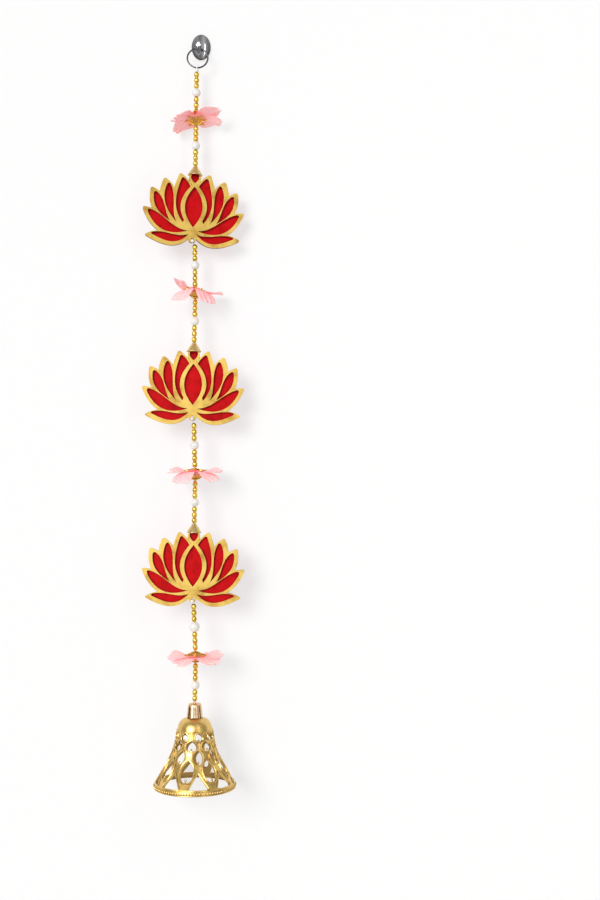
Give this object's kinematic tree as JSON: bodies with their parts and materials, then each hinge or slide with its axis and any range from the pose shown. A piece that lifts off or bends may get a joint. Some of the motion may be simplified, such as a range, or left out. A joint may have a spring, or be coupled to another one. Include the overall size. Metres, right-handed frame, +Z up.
{
  "type": "toran door hanging with wall hook",
  "caption": "Door hanging: gold beads, pearls, cloth blossoms and cut lotus plates on one thread, with a pierced bell at its foot, hung by a ring from a chrome wall hook.",
  "frame": {"origin": "centre of the hook plate's back face, on the wall", "axes": "+Z up along the strand, +Y into the wall, the front faces -Y"},
  "size_m": [0.1039, 0.0832, 0.758],
  "materials": {
    "chrome": "polished",
    "nylon": "translucent white",
    "gold_bead": "metallised gold",
    "pearl": "pearl lustre",
    "white_bead": "gloss",
    "pink_cloth": "sheer stiffened cloth",
    "filigree": "gold plated",
    "satin_gold": "satin",
    "gold_face": "metallic gold paint on cut fibreboard",
    "red_backing": "matt red paint on cut fibreboard",
    "bell_gold": "plated casting"
  },
  "bodies": {
    "root": {"wall_hook": "chrome", "split_ring": "chrome", "thread": "nylon", "bead_run_01": "gold_bead", "bead_run_02": "gold_bead", "bead_run_03": "gold_bead", "bead_run_04": "gold_bead", "bead_run_05": "gold_bead", "bead_run_06": "gold_bead", "bead_run_07": "gold_bead", "bead_run_08": "gold_bead", "bead_run_09": "gold_bead", "bead_run_10": "gold_bead", "bead_run_11": "gold_bead", "bead_run_12": "gold_bead", "bead_run_13": "gold_bead", "bead_run_14": "gold_bead", "bead_run_15": "gold_bead", "bead_run_16": "gold_bead", "pearl_1": "pearl", "pearl_2": "pearl", "pearl_3": "pearl", "pearl_4": "pearl", "pearl_5": "pearl", "pearl_6": "pearl", "pearl_7": "pearl", "pearl_8": "pearl", "flower_1": "pink_cloth", "flower_cap_upper_1": "filigree", "flower_cap_lower_1": "filigree", "flower_2": "pink_cloth", "flower_cap_upper_2": "filigree", "flower_cap_lower_2": "filigree", "flower_3": "pink_cloth", "flower_cap_upper_3": "filigree", "flower_cap_lower_3": "filigree", "flower_4": "pink_cloth", "flower_cap_upper_4": "filigree", "flower_cap_lower_4": "filigree", "cone_cap_1": "satin_gold", "lotus_face_1": "gold_face", "lotus_back_1": "red_backing", "seed_bead_1": "white_bead", "cone_cap_2": "satin_gold", "lotus_face_2": "gold_face", "lotus_back_2": "red_backing", "seed_bead_2": "white_bead", "cone_cap_3": "satin_gold", "lotus_face_3": "gold_face", "lotus_back_3": "red_backing", "seed_bead_3": "white_bead", "bell_crown": "satin_gold", "bell": "bell_gold"}
  },
  "joints": []
}
